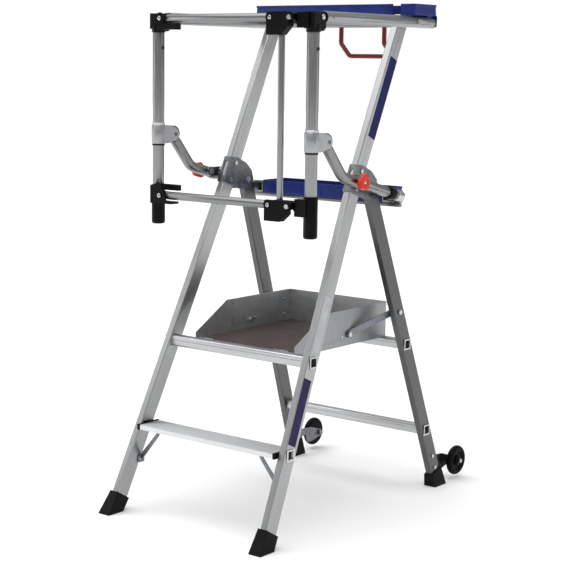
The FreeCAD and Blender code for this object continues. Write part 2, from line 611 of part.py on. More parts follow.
def make_handle():
    left, right = HANDLE_X - HANDLE_HALF, HANDLE_X + HANDLE_HALF
    leg = [(TOP_TRAY_Y[1] + 2, 1531), (HANDLE_Y + 4, 1531), (HANDLE_Y + 4, 1458), (HANDLE_Y + 53, 1417)]
    points = [(left, y, z) for y, z in leg] + [(right, y, z) for y, z in leg[::-1]]
    parts = [bent_tube(points, HANDLE_RADIUS, HANDLE_RADIUS, 10.0)]
    for x in (left, right):
        parts.append(box((x - 14, x + 14), (TOP_TRAY_Y[1], TOP_TRAY_Y[1] + 2), (1519, 1543)))
    write("pull_handle", *parts)


def make_posts():
    for side, name in ((1, "right"), (-1, "left")):
        x = side * GUARD_X
        post = rod_z(x, POST_Y, SOCKET_TOP_Z - 20, HEAD_BOTTOM_Z + 20, TUBE_RADIUS)
        post = post.cut(rod_z(x, POST_Y, 900, 1600, TUBE_RADIUS - TUBE_WALL))
        write("guard_post_" + name, post)
        head = rod_z(x, POST_Y, HEAD_BOTTOM_Z, 1502, TUBE_RADIUS + 3)
        head = head.fuse(box((x - 19, x + 19), (POST_Y - 19, POST_HINGE_Y + 12), (1490, 1504)))
        for shift in (-15.5, 7.5):
            low = (POST_HINGE_Y, RAIL_Z - 24)
            head = head.fuse(slot_x((POST_HINGE_Y, RAIL_Z), low, 16.0, x + shift, x + shift + 8))
        head = head.fuse(box((x - 19, x + 19), (POST_Y - 19, POST_HINGE_Y - 20), (1498, RAIL_Z + 14)))
        head = head.removeSplitter().cut(rod_z(x, POST_Y, 1470, HEAD_BOTTOM_Z + 20, TUBE_RADIUS))
        head = head.cut(rod_x(POST_HINGE_Y, RAIL_Z, x - 30, x + 30, 5.0))
        head = head.cut(rod_x(POST_HINGE_Y, RAIL_Z, x - 6.8, x + 6.8, 17.5))
        head = head.cut(box((x - 6.8, x + 6.8), (POST_HINGE_Y - 17.5, 0), (1506, 1560)))
        foot = rod_z(x, POST_Y, FOOT_Z, SOCKET_TOP_Z, TUBE_RADIUS + 3)
        low_rim = [e for e in foot.Edges if e.Length > 100 and e.CenterOfMass.z < FOOT_Z + 1]
        foot = foot.makeFillet(7.0, low_rim)
        foot = foot.cut(rod_z(x, POST_Y, SOCKET_TOP_Z - 20, 1600, TUBE_RADIUS))
        pin = rod_x(POST_HINGE_Y, RAIL_Z, x - 18, x + 18, 5.0)
        for start in (x - 19, x + 15.5):
            pin = pin.fuse(rod_x(POST_HINGE_Y, RAIL_Z, start, start + 3.5, 8.0))
        write_post_fittings(name, x, head, foot, pin.removeSplitter())
        make_clamp(name, x)


def make_clamp(name, x):
    """The sleeve on a post that holds the arm's front end between two ears."""
    low, high = CLAMP_Z
    outline = [(POST_Y, low - 2), (POST_Y, high), (-300, high), (-277, high - 6), (-253, high - 12),
               (-239, high - 19), (-234, high - 29), (-241, low + 15), (-256, low + 8)]
    clamp = rod_z(x, POST_Y, low, high, TUBE_RADIUS + 3.5)
    for shift in (-20.5, 17.0):
        clamp = clamp.fuse(plate_x(outline, x + shift, x + shift + 3.5))
    solids = [clamp.removeSplitter().cut(rod_z(x, POST_Y, low - 40, high + 40, TUBE_RADIUS))]
    for z, height in ((low - 6, 4), (high, 7)):
        ring = rod_z(x, POST_Y, z, z + height, TUBE_RADIUS + 2)
        solids.append(ring.cut(rod_z(x, POST_Y, z - 1, z + height + 1, TUBE_RADIUS)))
    for start in (x - 23.5, x + 20.5):
        solids.append(rod_x(*ARM_FRONT, start, start + 3, 6.0))
    write("post_clamp_" + name, *solids)


def left_gate_fittings(x):
    """The gate's hinge on the left post: front cheeks, rear lugs and the hooks beside the bars."""
    lug = (GATE_Y + 13.0, GATE_Y + 18.0)
    cheek = (GATE_Y - 17.5, GATE_Y - 14.5)
    hook = (GATE_PIVOT_X + 13, GATE_PIVOT_X + 55)
    added = {}
    for end, z, height in (("head", GATE_TOP_Z, 13.0), ("foot", GATE_BOTTOM_Z, 11.0)):
        added[end] = [box((x, GATE_PIVOT_X), lug, (z - height, z + height)),
                      rod_y(GATE_PIVOT_X, z, *lug, height),
                      box((x, x + 19), (cheek[0], POST_Y), (z - 14, z + 14))]
    z = GATE_TOP_Z
    added["head"] += [box((x, GATE_PIVOT_X), cheek, (z - 14, z + 14)), rod_y(GATE_PIVOT_X, z, *cheek, 17.5),
                      box((x + 19, hook[1]), (GATE_Y - 11, lug[1]), (z - 34, z - 18)),
                      box(hook, (GATE_Y - 11, lug[1]), (z - 20, z - 14))]
    z = GATE_BOTTOM_Z
    near, far = GATE_PIVOT_X + 24, GATE_PIVOT_X + 48
    outline = [(x, z + 30), (near - 26, z + 41), (near - 9, z + 11), (near, z - 5), (near + 4, z - 14),
               (far, z - 17), (far, z - 24), (x, z - 26)]
    added["foot"] += [plate_y(outline, *cheek),
                      box((x, hook[1] - 5), (lug[0], lug[1] + 10), (z + 15, z + 33)),
                      box((x + 19, hook[1] - 7), (cheek[0], lug[1]), (z - 25, z - 18))]
    return added, cheek[0], 4.0


def right_gate_fittings(x):
    """What the closed gate's brackets hang on at the right post."""
    lug = (GATE_Y + 13.0, GATE_Y + 18.0)
    block = (GATE_PIN_X + 16, x)
    added = {}
    for end, z, low, high in (("head", GATE_TOP_Z, -29, 14), ("foot", GATE_BOTTOM_Z, -29, 22)):
        added[end] = [box((GATE_PIN_X, x), lug, (z - 16, z + 12)), rod_y(GATE_PIN_X, z, *lug, 12.0),
                      box(block, (GATE_Y - 4, lug[1]), (z + low, z + high))]
    return added, GATE_Y - 19.0, 5.0


def write_post_fittings(name, x, head, foot, hinge_pin):
    left = name == "left"
    added, start, hole = left_gate_fittings(x) if left else right_gate_fittings(x)
    pivot = GATE_PIVOT_X if left else GATE_PIN_X
    post = rod_z(x, POST_Y, SOCKET_TOP_Z - 20, HEAD_BOTTOM_Z + 20, TUBE_RADIUS)
    pins = [hinge_pin]
    for end, fitting, z in (("head", head, GATE_TOP_Z), ("foot", foot, GATE_BOTTOM_Z)):
        fitting = fitting.fuse(added[end]).removeSplitter().cut(post)
        write("post_" + end + "_" + name, fitting.cut(rod_y(pivot, z, start - 5, GATE_Y + 23, hole)))
        pin = rod_y(pivot, z, start, GATE_Y + 18, hole).fuse(rod_y(pivot, z, start - 3, start, 7.0))
        pins.append(pin.removeSplitter())
    write("post_pins_" + name, *pins)


def make_gate():
    neck = 20.0
    for name, z in (("gate_bar_top", GATE_TOP_Z), ("gate_bar_bottom", GATE_BOTTOM_Z)):
        bar = rod_x(GATE_Y, z, GATE_PIVOT_X + neck, GATE_RIVET_X - neck, GATE_RADIUS)
        bar = bar.cut(rod_x(GATE_Y, z, GATE_PIVOT_X + 2 * neck, GATE_RIVET_X - 2 * neck, GATE_RADIUS - 1.6))
        tang = box((GATE_PIVOT_X, GATE_RIVET_X), (GATE_Y - 7, GATE_Y + 7), (z - 9, z + 9))
        between = (GATE_PIVOT_X + neck, GATE_RIVET_X - neck)
        tang = tang.cut(box(between, (GATE_Y - 8, GATE_Y + 8), (z - 10, z + 10)))
        eyes = [rod_y(x, z, GATE_Y - 7, GATE_Y + 7, 9.0) for x in (GATE_PIVOT_X, GATE_RIVET_X)]
        bar = bar.fuse([tang] + eyes).removeSplitter()
        for x in (GATE_PIVOT_X, GATE_RIVET_X):
            bar = bar.cut(rod_y(x, z, GATE_Y - 20, GATE_Y + 20, 4.0 + RUNNING_GAP))
        write(name, bar)
    upright = rod_z(UPRIGHT_X, GATE_Y, GATE_BOTTOM_Z + 8, GATE_TOP_Z - 8, UPRIGHT_RADIUS)
    write("gate_upright", upright.cut(rod_z(UPRIGHT_X, GATE_Y, 900, 1600, UPRIGHT_RADIUS - 1.5)))
    pieces = []
    for z, low in ((GATE_TOP_Z, -50), (GATE_BOTTOM_Z, -47)):
        edge = [(155, z + 9), (157, z + 13.5), (162, z + 16), (246, z + 16), (254, z + 10), (254, z - 9),
                (246, z - 9), (246, z), (236, z), (236, z - 24), (210, z + low), (155, z + low)]
        block = plate_y(edge, GATE_Y - 14, GATE_Y + 10)
        block = block.cut(box((140, 187), (GATE_Y - 14, GATE_Y + 12), (z - 90, z + 30)))
        plate = plate_y(edge, GATE_Y - 16.5, GATE_Y - 14)
        bracket = block.fuse(plate).removeSplitter()
        tube = (z - 90, z - 8) if z == GATE_TOP_Z else (z + 8, z + 90)
        bracket = bracket.cut(rod_z(UPRIGHT_X, GATE_Y, *tube, UPRIGHT_RADIUS))
        bracket = bracket.cut(rod_y(GATE_PIN_X, z, GATE_Y - 20, GATE_Y + 20, 5.4))
        mouth = (GATE_PIN_X - 5.4, GATE_PIN_X + 5.4)
        bracket = bracket.cut(box(mouth, (GATE_Y - 20, GATE_Y + 20), (z - 60, z)))
        pieces.append(bracket.cut(rod_y(GATE_RIVET_X, z, GATE_Y - 20, GATE_Y + 20, 4.0)))
        rivet = rod_y(GATE_RIVET_X, z, GATE_Y - 16.5, GATE_Y + 10, 4.0)
        pieces.append(rivet.fuse(rod_y(GATE_RIVET_X, z, GATE_Y - 19, GATE_Y - 16.5, 7.0)).removeSplitter())
    write("gate_brackets", *pieces)


def make_labels():
    """Blank stickers on the right stile's outer face."""
    labels = []
    for low, high, half in ((1170, 1412, 19.0), (545, 700, 15.0), (285, 470, 15.0)):
        z_mid = (low + high) / 2
        x = front_x(low) + FRONT_WIDTH / 2
        rise = V(front_x(high) - front_x(low), front_y(high) - front_y(low), high - low)
        edge = [V(x, front_y(low) - half, low), V(x + 0.3, front_y(low) - half, low),
                V(x + 0.3, front_y(low) + half, low), V(x, front_y(low) + half, low)]
        labels.append(face_of(edge).extrude(rise))
    write("stile_labels", *labels)


os.makedirs("parts", exist_ok=True)
make_stiles()
make_boots()
make_step()
make_rungs()
make_platform()
make_links()
make_hinge()
make_wheels()
make_arms()
make_knobs()
make_guard()
make_trays()
make_handle()
make_posts()
make_gate()
make_labels()
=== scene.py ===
import bmesh
import bpy
import math
from mathutils import Matrix, Vector


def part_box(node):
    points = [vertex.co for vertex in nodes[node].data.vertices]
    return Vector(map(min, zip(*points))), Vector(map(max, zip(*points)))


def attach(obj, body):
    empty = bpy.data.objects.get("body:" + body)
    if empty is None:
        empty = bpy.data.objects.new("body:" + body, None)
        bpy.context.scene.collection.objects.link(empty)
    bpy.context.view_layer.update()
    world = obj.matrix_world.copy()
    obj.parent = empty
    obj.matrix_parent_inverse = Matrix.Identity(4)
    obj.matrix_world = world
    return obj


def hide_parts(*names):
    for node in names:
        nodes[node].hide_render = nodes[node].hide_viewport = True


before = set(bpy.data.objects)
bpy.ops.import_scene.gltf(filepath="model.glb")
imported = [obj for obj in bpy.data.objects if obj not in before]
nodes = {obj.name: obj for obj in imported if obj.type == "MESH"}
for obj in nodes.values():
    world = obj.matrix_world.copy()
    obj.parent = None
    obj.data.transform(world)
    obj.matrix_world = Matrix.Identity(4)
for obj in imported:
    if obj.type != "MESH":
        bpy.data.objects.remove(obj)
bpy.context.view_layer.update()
scene = bpy.context.scene

MM = 0.001
SIDES = (("right", 1.0), ("left", -1.0))
# Sizes and places shared with the CAD model, in millimetres. The leans are in radians.
FRONT_LEAN = math.radians(25.1)
REAR_LEAN = math.radians(-19.7)
FRONT_FOOT_Y = -521.0
UPPER_HALF = 249.75
FRONT_TAPER = 0.050
FRONT_BEND_Z = 1005.0
FRONT_WIDTH = 23.5
STEP_Z = 260.5
GUARD_X = 298.6
TUBE_RADIUS = 18.0
RAIL_Z = 1523.0
POST_Y = -320.4
CLAMP_Z = (1139.0, 1196.0)
ARM_FRONT = (-262.0, 1167.0)
ARM_BEND = (-170.0, 1060.4)
ARM_REAR = (142.0, 984.0)
ARM_RADIUS = 16.5
KNOB = (-98.0, 1042.0)
GATE_Y = -341.0
GATE_PIVOT_X = -259.2
GATE_RIVET_X = 169.5
GATE_LEVELS = (1521.5, 981.5)
GATE_PIN_FACE_Y = GATE_Y - 20.1
GATE_RIVET_FACE_Y = GATE_Y - 18.4
POST_HINGE_Y = -298.0
BUTTON_Z = 1433.0
BORE_HALF = 12.4
BORE_DEPTH = 12.0
LINK_FRONT = (18.0, 551.0)
BOARD_HALF = 196.5
WHEEL = (304.0, 515.0, 62.0)
AXLE_END_X = 324.0


# ---------------------------------------------------------------- materials
class Maker:
    """A procedural material: one Principled shader and the nodes that vary it."""

    def __init__(self, name, metallic=0.0, coat=0.0, gloss=0.5):
        self.mat = bpy.data.materials.new(name)
        self.mat.use_nodes = True
        self.tree = self.mat.node_tree
        self.shader = self.tree.nodes["Principled BSDF"]
        self.shader.inputs["Metallic"].default_value = metallic
        self.shader.inputs["Coat Weight"].default_value = coat
        self.shader.inputs["Coat Roughness"].default_value = 0.12
        self.shader.inputs["IOR"].default_value = 1.5
        self.shader.inputs["Specular IOR Level"].default_value = gloss

    def node(self, kind, **values):
        made = self.tree.nodes.new(kind)
        for key, value in values.items():
            if key in made.inputs:
                made.inputs[key].default_value = value
            else:
                setattr(made, key, value)
        return made

    def link(self, out, into):
        self.tree.links.new(out, into)

    def noise(self, scale, lean=0.0, stretch=(1, 1, 1), detail=4.0, rough=0.55):
        """Noise in the object's own space, turned by lean about X and stretched."""
        coords = self.node("ShaderNodeTexCoord")
        turn = self.node("ShaderNodeMapping", Rotation=(lean, 0, 0))
        mapping = self.node("ShaderNodeMapping", Scale=stretch)
        noise = self.node("ShaderNodeTexNoise", Scale=scale, Detail=detail, Roughness=rough)
        self.link(coords.outputs["Object"], turn.inputs["Vector"])
        self.link(turn.outputs["Vector"], mapping.inputs["Vector"])
        self.link(mapping.outputs["Vector"], noise.inputs["Vector"])
        return noise.outputs["Fac"]

    def ramp(self, fac, low, high, start=0.3, end=0.7):
        ramp = self.node("ShaderNodeValToRGB")
        ramp.color_ramp.elements[0].position = start
        ramp.color_ramp.elements[1].position = end
        ramp.color_ramp.elements[0].color = (*low, 1)
        ramp.color_ramp.elements[1].color = (*high, 1)
        self.link(fac, ramp.inputs["Fac"])
        return ramp.outputs["Color"]

    def spread(self, fac, low, high):
        out = self.node("ShaderNodeMapRange")
        out.inputs["From Min"].default_value = 0.3
        out.inputs["From Max"].default_value = 0.7
        out.inputs["To Min"].default_value = low
        out.inputs["To Max"].default_value = high
        self.link(fac, out.inputs["Value"])
        return out.outputs["Result"]

    def mix(self, fac, a, b):
        mix = self.node("ShaderNodeMix", data_type="RGBA")
        self.link(fac, mix.inputs[0])
        self.link(a, mix.inputs[6])
        self.link(b, mix.inputs[7])
        return mix.outputs[2]

    def bump(self, *layers):
        """Each layer is (height output, distance in metres, strength)."""
        last = None
        for height, distance, strength in layers:
            bump = self.node("ShaderNodeBump", Distance=distance, Strength=strength)
            self.link(height, bump.inputs["Height"])
            if last:
                self.link(last, bump.inputs["Normal"])
            last = bump.outputs["Normal"]
        self.link(last, self.shader.inputs["Normal"])

    def set(self, color=None, rough=None):
        if color is not None:
            self.link(color, self.shader.inputs["Base Color"])
        if rough is not None:
            self.link(rough, self.shader.inputs["Roughness"])


def grey(value, tint=(1.0, 1.0, 1.0)):
    return tuple(value * t for t in tint)


def aluminium(name, tone, rough, lean=0.0, along="z", tint=(0.985, 0.995, 1.0)):
    """Drawn aluminium: fine streaks along its length, with broader clouds and handling marks."""
    make = Maker(name, metallic=1.0)
    scale = {"x": (0.02, 1, 1), "y": (1, 0.02, 1), "z": (1, 1, 0.02)}[along]
    streak = make.noise(900, lean, scale, detail=3.0)
    cloud = make.noise(14, lean, {"x": (0.3, 1, 1), "y": (1, 0.3, 1), "z": (1, 1, 0.3)}[along])
    mark = make.noise(160, lean, (1, 1, 1), detail=6.0, rough=0.7)
    base = make.ramp(cloud, grey(tone * 0.86, tint), grey(tone * 1.05, tint))
    fine = make.ramp(streak, grey(tone * 0.80, tint), grey(tone * 1.08, tint))
    half = make.node("ShaderNodeMath", operation="MULTIPLY")
    make.link(mark, half.inputs[0])
    half.inputs[1].default_value = 0.9
    make.set(make.mix(half.outputs[0], fine, base), make.spread(streak, rough - 0.05, rough + 0.07))
    make.bump((streak, 0.00004, 0.35), (mark, 0.00003, 0.25))
    return make.mat


def mottled_sheet(name, tone):
    """Rolled sheet with a dull mill finish: soft mottling and faint rolling lines."""
    make = Maker(name, metallic=1.0)
    mottle = make.noise(60, detail=6.0, rough=0.65)
    grain = make.noise(700, stretch=(1, 0.04, 1), detail=2.0)
    spots = make.noise(18, detail=3.0)
    tint = (0.97, 0.99, 1.0)
    a = make.ramp(mottle, grey(tone * 0.82, tint), grey(tone * 1.1, tint))
    b = make.ramp(spots, grey(tone * 0.86, tint), grey(tone * 1.06, tint))
    make.set(make.mix(grain, a, b), make.spread(mottle, 0.36, 0.52))
    make.bump((mottle, 0.00012, 0.25), (grain, 0.00003, 0.3))
    return make.mat


def zinc(name, dark, light, rough):
    """Zinc plate: pale crystals of slightly different greys."""
    make = Maker(name, metallic=1.0)
    coords = make.node("ShaderNodeTexCoord")
    cells = make.node("ShaderNodeTexVoronoi", Scale=170.0)
    make.link(coords.outputs["Object"], cells.inputs["Vector"])
    cloud = make.noise(45, detail=5.0)
    fleck = make.node("ShaderNodeSeparateColor")
    make.link(cells.outputs["Color"], fleck.inputs["Color"])
    a = make.ramp(fleck.outputs[0], dark, light, 0.0, 1.0)
    b = make.ramp(cloud, dark, light)
    make.set(make.mix(cloud, a, b), make.spread(cloud, rough - 0.06, rough + 0.08))
    make.bump((cloud, 0.00008, 0.3))
    return make.mat


def moulded(name, low, high, rough, grain=600.0, depth=0.00006, coat=0.0, gloss=0.5):
    """Moulded plastic or rubber: a fine grained skin, cloudy wear and a slight gloss change."""
    make = Maker(name, coat=coat, gloss=gloss)
    cloud = make.noise(22, detail=5.0)
    skin = make.noise(grain, detail=2.0)
    make.set(make.ramp(cloud, low, high), make.spread(cloud, rough - 0.05, rough + 0.08))
    make.bump((skin, depth, 0.5), (cloud, 0.0002, 0.08))
    return make.mat


def phenolic(name):
    """Film-faced ply: dark red-brown with a pressed mesh pattern and scuffs."""
    make = Maker(name)
    coords = make.node("ShaderNodeTexCoord")
    waves = []
    for turn in (0.785, -0.785):
        mapping = make.node("ShaderNodeMapping", Rotation=(0, 0, turn))
        make.link(coords.outputs["Object"], mapping.inputs["Vector"])
        wave = make.node("ShaderNodeTexWave", Scale=70.0, Distortion=0.4)
        make.link(mapping.outputs["Vector"], wave.inputs["Vector"])
        waves.append(wave.outputs["Fac"])
    mesh = make.node("ShaderNodeMath", operation="MULTIPLY")
    make.link(waves[0], mesh.inputs[0])
    make.link(waves[1], mesh.inputs[1])
    cloud = make.noise(9, detail=6.0)
    grain = make.noise(120, stretch=(1, 0.08, 1), detail=4.0)
    a = make.ramp(cloud, (0.032, 0.019, 0.016), (0.060, 0.036, 0.029))
    b = make.ramp(grain, (0.028, 0.016, 0.013), (0.075, 0.044, 0.034))
    make.set(make.mix(cloud, a, b), make.spread(cloud, 0.38, 0.55))
    make.bump((mesh.outputs[0], 0.0004, 0.35), (grain, 0.0001, 0.3))
    return make.mat


ALU_FRONT = aluminium("front_stile_aluminium", 0.42, 0.32, FRONT_LEAN)
# Painted light: the upper stiles are the front stiles' aluminium with a lighter tone, for the light falling
# on their upper part.
ALU_UPPER_LIT = aluminium("upper_stile_aluminium_painted_light", 0.47, 0.32, FRONT_LEAN)
# Painted shade: the rear stiles are the same aluminium as the front ones, given a much darker tone for the
# shade they stand in.
ALU_REAR_SHADED = aluminium("rear_stile_aluminium", 0.135, 0.36, REAR_LEAN)
ALU_POST = aluminium("post_aluminium", 0.3, 0.34)
ALU_RAIL = aluminium("rail_aluminium", 0.33, 0.36, along="y")
ALU_ARM = aluminium("arm_aluminium", 0.26, 0.30, along="y")
ALU_BAR = aluminium("bar_aluminium", 0.26, 0.34, along="x")
ALU_STEP = aluminium("step_aluminium", 0.74, 0.38, along="x")
ALU_RUNG = aluminium("rung_aluminium", 0.56, 0.34, along="x")
SHEET = mottled_sheet("toe_board_sheet", 0.60)
# Painted shade: the right toe board is the same sheet as the left and rear ones, given a darker tone for the
# shade on its side.
SHEET_SHADED = mottled_sheet("toe_board_sheet_painted_shade", 0.34)
ZINC = zinc("galvanised_steel", (0.11, 0.113, 0.119), (0.24, 0.244, 0.252), 0.34)
CLAMP = zinc("clamp_steel", (0.34, 0.343, 0.35), (0.42, 0.423, 0.43), 0.42)
BOLT = zinc("bolt_steel", (0.42, 0.425, 0.44), (0.62, 0.625, 0.635), 0.26)
LINK = zinc("link_steel", (0.14, 0.15, 0.17), (0.26, 0.27, 0.29), 0.40)
BLACK_LOW, BLACK_HIGH = (0.0016, 0.0016, 0.0018), (0.0050, 0.0050, 0.0054)
RUBBER = moulded("boot_rubber", BLACK_LOW, BLACK_HIGH, 0.42, 380, 0.00012, gloss=0.1)
TYRE = moulded("tyre_rubber", BLACK_LOW, BLACK_HIGH, 0.46, 300, 0.0001, gloss=0.07)
HUB = moulded("hub_plastic", BLACK_LOW, BLACK_HIGH, 0.38, gloss=0.07)
BLACK = moulded("black_plastic", BLACK_LOW, BLACK_HIGH, 0.40, gloss=0.1)
FITTING = moulded("fitting_plastic", BLACK_LOW, BLACK_HIGH, 0.32, 900, 0.00003, gloss=0.1)
PANEL = phenolic("panel_film")
ORANGE = moulded("knob_plastic", (0.52, 0.016, 0.003), (0.72, 0.030, 0.006), 0.36, 700, 0.00004, gloss=0.3)
BLUE = moulded("tray_plastic", (0.004, 0.014, 0.120), (0.007, 0.024, 0.190), 0.38, 500, 0.00010, gloss=0.28)
RED = moulded("handle_paint", (0.13, 0.006, 0.005), (0.20, 0.010, 0.009), 0.32, 900, 0.00003, gloss=0.4)
NAVY = moulded("navy_film", (0.008, 0.010, 0.070), (0.012, 0.015, 0.095), 0.34, 900, 0.00002, gloss=0.1)
PURPLE = moulded("purple_film", (0.018, 0.012, 0.060), (0.028, 0.018, 0.085), 0.34, 900, 0.00002, gloss=0.1)
WHITE = moulded("white_film", (0.42, 0.43, 0.44), (0.52, 0.53, 0.54), 0.42, 900, 0.00002)
# Painted shade: near-black for the shadow inside the bores, the bolt eyes and the hollow rivets; the post
# buttons use it too.
DARK = moulded("bore_shadow", (0.003, 0.003, 0.003), (0.008, 0.008, 0.008), 0.70)


# ---------------------------------------------------------------- meshes
def finish_mesh(ob, mat, body, replaces=(), bevel=0.0):
    """Gives a new piece its material and its body, and softens its edges."""
    ob.data.materials.clear()
    ob.data.materials.append(mat)
    for face in ob.data.polygons:
        face.use_smooth = True
    if bevel:
        mod = ob.modifiers.new("bevel", "BEVEL")
        mod.width = bevel * MM
        mod.segments = 2
        mod.limit_method = "ANGLE"
        mod.angle_limit = math.radians(35)
    ob.data.set_sharp_from_angle(angle=math.radians(40))
    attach(ob, body)
    if replaces:
        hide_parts(*replaces)
    return ob


def mesh(name, verts, faces):
    """A mesh object from points in millimetres."""
    data = bpy.data.meshes.new(name)
    data.from_pydata([tuple(c * MM for c in v) for v in verts], [], faces)
    data.validate()
    ob = bpy.data.objects.new(name, data)
    scene.collection.objects.link(ob)
    work = bmesh.new()
    work.from_mesh(data)
    bmesh.ops.recalc_face_normals(work, faces=work.faces)
    work.to_mesh(data)
    work.free()
    return ob


def rings_mesh(name, rings, closed=False):
    """Joins rings of points, each with the same count, into one skin; its ends are capped unless closed."""
    count = len(rings[0])
    verts = [v for ring in rings for v in ring]
    faces = []
    span = len(rings) if closed else len(rings) - 1
    for i in range(span):
        a, b = i * count, (i + 1) % len(rings) * count
        for k in range(count):
            n = (k + 1) % count
            faces.append((a + k, a + n, b + n, b + k))
    if not closed:
        faces.append(tuple(range(count)))
        faces.append(tuple((len(rings) - 1) * count + k for k in range(count)))
    return mesh(name, verts, faces)


def frame_for(axis):
    """The axis as a unit vector, and two directions square to it."""
    axis = Vector(axis).normalized()
    side = Vector((0, 0, 1)) if abs(axis.z) < 0.9 else Vector((1, 0, 0))
    a = side.cross(axis).normalized()
    return axis, a, axis.cross(a)


def lathe(name, profile, centre, axis, steps=40):
    """Turns (along, radius) points about an axis; a radius near 0 closes the end."""
    axis, a, b = frame_for(axis)
    centre = Vector(centre)
    rings = []
    for along, radius in profile:
        ring = []
        for k in range(steps):
            turn = 2 * math.pi * k / steps
            way = a * math.cos(turn) + b * math.sin(turn)
            ring.append(centre + axis * along + way * max(radius, 0.02))
        rings.append(ring)
    return rings_mesh(name, rings)


def dome(name, centre, axis, radius, height, mat, body, replaces=(), skirt=0.35):
    """A round rivet or bolt head, domed over a short straight edge."""
    profile = [(0, radius), (height * skirt, radius)]
    for i in range(1, 7):
        t = i / 6 * math.pi / 2
        profile.append((height * skirt + height * (1 - skirt) * math.sin(t), radius * math.cos(t)))
    return finish_mesh(lathe(name, profile, centre, axis, 28), mat, body, replaces)


def prism(name, outline, plane, low, high):
    """Extrudes an outline, given in the two axes other than plane, from low to high."""
    order = {"x": (1, 2, 0), "y": (0, 2, 1), "z": (0, 1, 2)}[plane]
    rings = []
    for depth in (low, high):
        ring = []
        for a, b in outline:
            point = [0.0, 0.0, 0.0]
            point[order[0]], point[order[1]], point[order[2]] = a, b, depth
            ring.append(tuple(point))
        rings.append(ring)
    return rings_mesh(name, rings)


def rounded(x, y, radius, steps=5):
    """A rectangle's outline, from x[0], y[0] to x[1], y[1], with round corners."""
    points = []
    for cx, cy, start in ((x[1] - radius, y[1] - radius, 0), (x[0] + radius, y[1] - radius, 90),
                          (x[0] + radius, y[0] + radius, 180), (x[1] - radius, y[0] + radius, 270)):
        for i in range(steps + 1):
            turn = math.radians(start + 90 * i / steps)
            points.append((cx + radius * math.cos(turn), cy + radius * math.sin(turn)))
    return points


def dress(node, mat, bevel):
    """Gives a CAD node its material and softens its edges."""
    ob = nodes[node]
    ob.data.materials.clear()
    ob.data.materials.append(mat)
    weld = ob.modifiers.new("weld", "WELD")
    weld.merge_threshold = 0.00002
    mod = ob.modifiers.new("bevel", "BEVEL")
    mod.width = bevel * MM
    mod.segments = 2
    mod.limit_method = "ANGLE"
    mod.angle_limit = math.radians(38)


def soften(outline, radius, steps=4):
    """A closed outline with each corner rounded."""
    spots = [Vector(p) for p in outline]
    points = []
    for i, at in enumerate(spots):
        before, after = spots[i - 1], spots[(i + 1) % len(spots)]
        reach = min(radius, (before - at).length * 0.45, (after - at).length * 0.45)
        start = at + (before - at).normalized() * reach
        end = at + (after - at).normalized() * reach
        for k in range(steps + 1):
            t = k / steps
            points.append(tuple(start * (1 - t) ** 2 + at * 2 * t * (1 - t) + end * t ** 2))
    return points


# ---------------------------------------------------------------- CAD nodes that stay
for node, mat, bevel in (
        ("front_stiles", ALU_FRONT, 0.6), ("upper_stiles", ALU_UPPER_LIT, 0.6), ("rear_stiles", ALU_REAR_SHADED, 0.6),
        ("rear_stile_plugs", BLACK, 1.2), ("upper_stile_caps", BLACK, 1.6), ("step_end_caps", BLACK, 0.8),
        ("step_tread", ALU_STEP, 0.6), ("platform_rung", ALU_RUNG, 0.8), ("rear_rung_upper", ALU_RUNG, 0.8),
        ("rear_rung_lower", ALU_RUNG, 0.8), ("rung_hinges", ZINC, 0.5), ("platform_hinge_leaves", ZINC, 0.5),
        ("platform_panel", PANEL, 0.5), ("toe_board_left", SHEET, 0.5), ("toe_board_right", SHEET_SHADED, 0.5),
        ("toe_board_rear", SHEET, 0.5), ("platform_fasteners", BOLT, 0.8), ("link_bar_left", LINK, 0.7),
        ("link_bar_right", LINK, 0.7), ("hinge_brackets", ZINC, 1.1), ("hinge_bolts", BOLT, 1.0),
        ("wheel_mounts", ZINC, 0.8), ("rear_frame_rivets", BOLT, 1.2), ("arm_pivots", ZINC, 0.7),
        ("rail_pivot_bolts", BOLT, 0.8), ("lower_tray_supports", ALU_BAR, 0.7), ("arm_straps", ZINC, 0.6),
        ("side_rails", ALU_RAIL, 0.5), ("rail_end_fittings", BLACK, 1.5), ("rear_crossbar", ALU_BAR, 0.5),
        ("post_pins_left", BOLT, 1.0), ("post_pins_right", BOLT, 1.0), ("post_head_left", FITTING, 4.0),
        ("post_head_right", FITTING, 4.0), ("post_foot_left", FITTING, 3.0),
        ("post_foot_right", FITTING, 3.0), ("guard_post_left", ALU_POST, 0.5),
        ("guard_post_right", ALU_POST, 0.5), ("gate_bar_top", ALU_BAR, 0.6),
        ("gate_bar_bottom", ALU_BAR, 0.6), ("gate_upright", ALU_POST, 0.5), ("gate_brackets", FITTING, 2.0),
        ("guard_arms", ALU_ARM, 0.5), ("front_boots", RUBBER, 3.0), ("rear_boots", RUBBER, 3.0),
        ("pull_handle", RED, 0.8)):
    dress(node, mat, bevel)


